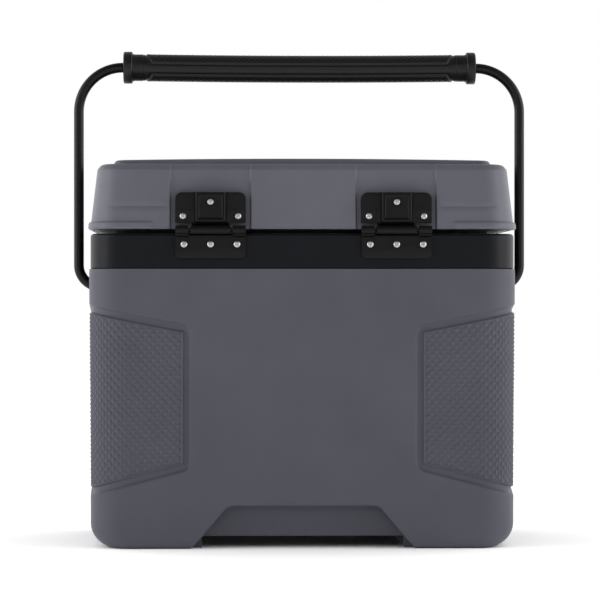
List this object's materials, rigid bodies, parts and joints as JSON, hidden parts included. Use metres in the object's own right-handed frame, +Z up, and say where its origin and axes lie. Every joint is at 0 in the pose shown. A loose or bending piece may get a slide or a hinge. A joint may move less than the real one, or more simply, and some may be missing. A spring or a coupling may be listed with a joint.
{
  "type": "hard cooler",
  "caption": "Small hard-sided cooler with a rear-hinged lid, front latches, a side drain plug and a swing-up bail handle with a long grip.",
  "frame": {"origin": "on the floor, under the middle of the whole object's box", "axes": "+Z up, +X towards the drain side, +Y towards the hinges at the rear"},
  "size_m": [0.4816, 0.3074, 0.5194],
  "materials": {
    "shell": "fine-textured moulded plastic",
    "lid": "fine-textured moulded plastic",
    "collar": "satin moulded plastic",
    "hardware": "moulded nylon, slightly grained",
    "liner": "smooth moulded plastic",
    "foam": "rigid foam, hidden",
    "seal": "soft rubber",
    "strap": "moulded rubber",
    "steel": "stainless steel",
    "tube": "black powder-coated steel",
    "grip": "soft moulded grip with fine raised pattern"
  },
  "bodies": {
    "body": {"bail_cup_left": "hardware", "bail_cup_right": "hardware", "body_collar": "collar", "body_insulation": "foam", "body_liner": "liner", "body_shell": "shell", "drain_nut": "liner", "drain_spout": "hardware", "hinge_lower_leaf_left": "hardware", "hinge_lower_leaf_right": "hardware", "hinge_lower_screw_left_1": "steel", "hinge_lower_screw_left_2": "steel", "hinge_lower_screw_left_3": "steel", "hinge_lower_screw_right_1": "steel", "hinge_lower_screw_right_2": "steel", "hinge_lower_screw_right_3": "steel", "hinge_pin_left": "steel", "hinge_pin_right": "steel", "keeper_screw_left_1": "steel", "keeper_screw_left_2": "steel", "keeper_screw_right_1": "steel", "keeper_screw_right_2": "steel", "latch_keeper_left": "hardware", "latch_keeper_right": "hardware"},
    "lid": {"bracket_screw_left_1": "steel", "bracket_screw_left_2": "steel", "bracket_screw_right_1": "steel", "bracket_screw_right_2": "steel", "hinge_upper_leaf_left": "hardware", "hinge_upper_leaf_right": "hardware", "hinge_upper_screw_left_1": "steel", "hinge_upper_screw_left_2": "steel", "hinge_upper_screw_left_3": "steel", "hinge_upper_screw_right_1": "steel", "hinge_upper_screw_right_2": "steel", "hinge_upper_screw_right_3": "steel", "latch_bracket_left": "hardware", "latch_bracket_right": "hardware", "latch_pin_left": "steel", "latch_pin_right": "steel", "lid_gasket": "seal", "lid_insulation": "foam", "lid_liner": "liner", "lid_shell": "lid"},
    "bail_carrier": {"bail_bush_left": "liner", "bail_bush_right": "liner"},
    "bail": {"bail_grip": "grip", "bail_tube": "tube", "grip_end_cap_left": "hardware", "grip_end_cap_right": "hardware"},
    "latch_left": {"latch_strap_left": "strap"},
    "latch_right": {"latch_strap_right": "strap"},
    "drain_plug": {"drain_plug": "hardware", "drain_plug_seal": "seal"}
  },
  "joints": [
    {"name": "lid_hinge", "type": "hinge", "parent": "body", "child": "lid", "pos_m": [0, 0.1475, 0.3259], "axis": [-1, 0, 0], "range_deg": [0, 95]},
    {"name": "bail_follow", "type": "hinge", "parent": "body", "child": "bail_carrier", "pos_m": [0, 0, 0.2683], "axis": [-1, 0, 0], "range_deg": [0, 132]},
    {"name": "bail_swing", "type": "hinge", "parent": "bail_carrier", "child": "bail", "pos_m": [0, 0, 0.2683], "axis": [1, 0, 0], "range_deg": [-125, 125]},
    {"name": "latch_left_swing", "type": "hinge", "parent": "lid", "child": "latch_left", "pos_m": [-0.095, -0.1487, 0.352], "axis": [-1, 0, 0], "range_deg": [-4.5, 110]},
    {"name": "latch_right_swing", "type": "hinge", "parent": "lid", "child": "latch_right", "pos_m": [0.095, -0.1487, 0.352], "axis": [-1, 0, 0], "range_deg": [-4.5, 110]},
    {"name": "drain_pull", "type": "slide", "parent": "body", "child": "drain_plug", "axis": [1, 0, 0], "range_m": [0, 0.022]}
  ],
  "couplings": [
    {"joint": "bail_follow", "follows": "lid_hinge", "ratio": 1.38}
  ]
}
